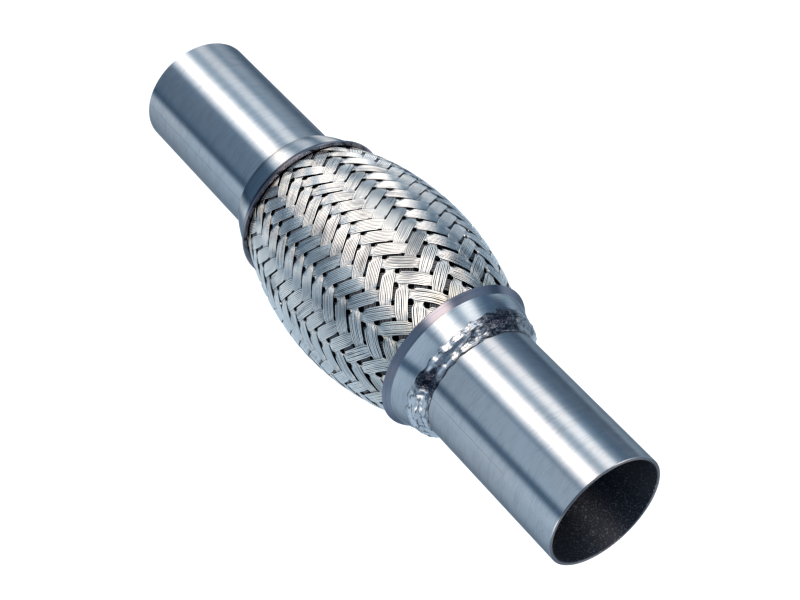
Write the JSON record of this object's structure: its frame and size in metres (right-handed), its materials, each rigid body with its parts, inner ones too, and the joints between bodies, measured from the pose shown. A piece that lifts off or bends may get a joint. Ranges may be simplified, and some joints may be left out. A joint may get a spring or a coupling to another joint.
{
  "type": "exhaust flex pipe",
  "caption": "Straight exhaust flex pipe: two plain tube stubs joined by a barrel-shaped woven steel braid over a bellows, held in flared collars.",
  "frame": {"origin": "centre of the inlet stub's mouth, on the surface that the part stands on", "axes": "+Z along the pipe's axis, from the inlet mouth to the outlet mouth"},
  "size_m": [0.0656, 0.0656, 0.22],
  "materials": {
    "pipe_steel": "satin, brushed round the tube",
    "collar_steel": "satin, with heat tint at the lip",
    "weld_metal": "rough, partly burnt blue-black",
    "braid_wire": "bright drawn wire",
    "bellows_steel": "rolled sheet",
    "liner_steel": "dull rolled strip"
  },
  "bodies": {
    "root": {"inlet_pipe": "pipe_steel", "outlet_pipe": "pipe_steel", "inlet_collar": "collar_steel", "outlet_collar": "collar_steel", "outlet_weld_bead": "weld_metal", "outer_braid": "braid_wire", "bellows": "bellows_steel", "inner_liner": "liner_steel"}
  },
  "joints": []
}
